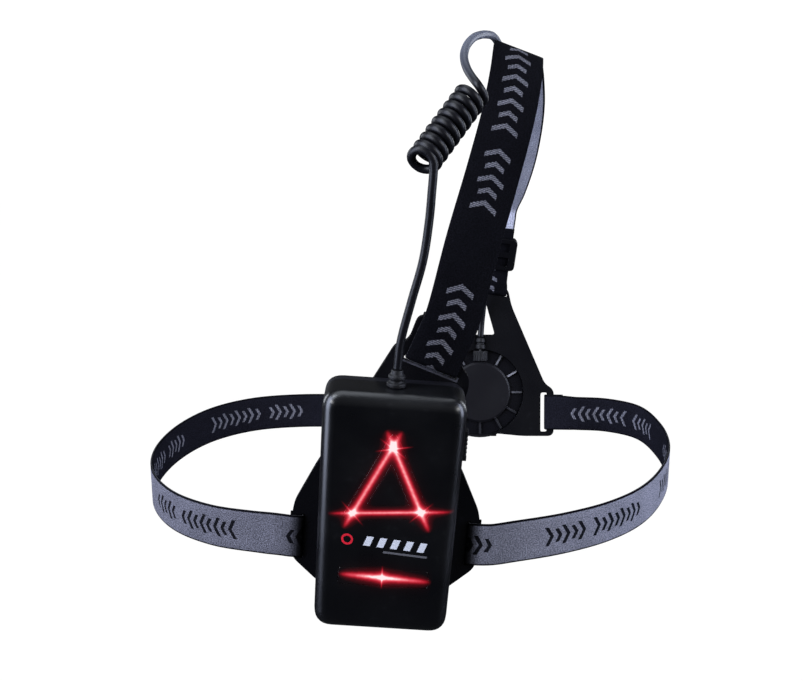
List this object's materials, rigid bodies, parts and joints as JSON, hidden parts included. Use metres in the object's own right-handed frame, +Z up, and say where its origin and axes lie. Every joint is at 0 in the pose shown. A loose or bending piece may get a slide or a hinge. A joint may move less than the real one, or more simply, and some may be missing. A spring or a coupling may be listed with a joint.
{
  "type": "running light harness",
  "caption": "Body-worn running light: back battery pack with red warning lights, tilting chest lamp, elastic chest straps, shoulder strap and curly cable.",
  "frame": {"origin": "on the back plate's flat face that rests on the wearer's back, level with the chest straps", "axes": "+Y from the wearer's back to the chest, +X to the wearer's right, +Z up"},
  "size_m": [0.2856, 0.25, 0.2693],
  "materials": {
    "black_plastic": "fine-grained black moulding",
    "case_plastic": "satin black moulding with soft highlights",
    "black_rubber": "soft matt rubber",
    "cable_jacket": "smooth glossy jacket",
    "grey_webbing": "woven elastic, grey outside with black edges and motif, black inside with grey motif",
    "black_webbing": "woven elastic, black outside with grey motif, grey inside",
    "red_light": "lit red diffuser",
    "led": "red warning diode, lit",
    "lamp_diode": "yellow phosphor under a clear dome",
    "circuit_board": "green solder mask",
    "cell_wrap": "blue shrink wrap",
    "steel": "bright steel",
    "lens": "clear moulded lens",
    "reflector": "metallised reflector"
  },
  "bodies": {
    "harness": {"back_plate": "black_plastic", "chest_plate": "black_plastic", "pack_back_shell": "case_plastic", "pack_front_shell": "case_plastic", "lamp_base": "case_plastic", "cable_clamp": "case_plastic", "triangle_light_guide": "red_light", "bar_light_guide": "red_light", "led_apex": "led", "led_left": "led", "led_right": "led", "led_bar": "led", "led_board": "circuit_board", "charge_board": "circuit_board", "battery_cell": "cell_wrap", "cell_cradle": "black_plastic", "usb_socket": "steel", "pack_cable_gland": "black_rubber", "lamp_cable_gland": "black_rubber", "pack_screw_1": "steel", "pack_screw_2": "steel", "pack_screw_3": "steel", "pack_screw_4": "steel", "hinge_pin": "steel", "chest_strap_left": "grey_webbing", "chest_strap_right": "grey_webbing", "shoulder_strap": "black_webbing", "cable_lower": "cable_jacket", "cable_coil": "cable_jacket", "cable_upper": "cable_jacket"},
    "lamp_head": {"lamp_housing": "case_plastic", "lamp_bezel": "black_plastic", "lamp_lens": "lens", "lamp_reflector": "reflector", "lamp_led": "lamp_diode"},
    "lamp_button": {"lamp_button": "black_rubber"},
    "pack_button": {"pack_button": "black_rubber"},
    "usb_flap": {"usb_flap": "black_rubber"},
    "strap_keeper": {"strap_keeper": "black_plastic"}
  },
  "joints": [
    {"name": "lamp_tilt", "type": "hinge", "parent": "harness", "child": "lamp_head", "pos_m": [0.0569, 0.1865, -0.0156], "axis": [-1, 0, 0], "range_deg": [0, 60]},
    {"name": "lamp_button_press", "type": "slide", "parent": "lamp_head", "child": "lamp_button", "axis": [0, -0.2419, -0.9703], "range_m": [0, 0.001], "stiffness_N_per_m": 800},
    {"name": "pack_button_press", "type": "slide", "parent": "harness", "child": "pack_button", "axis": [-0.9976, 0, 0.0698], "range_m": [0, 0.001], "stiffness_N_per_m": 800},
    {"name": "usb_flap_open", "type": "hinge", "parent": "harness", "child": "usb_flap", "pos_m": [-0.01448, -0.0098, -0.03508], "axis": [0.9976, 0, -0.0698], "range_deg": [0, 110]},
    {"name": "strap_keeper_slide", "type": "slide", "parent": "harness", "child": "strap_keeper", "axis": [0.1219, 0, 0.9925], "range_m": [0, 0.01]}
  ]
}
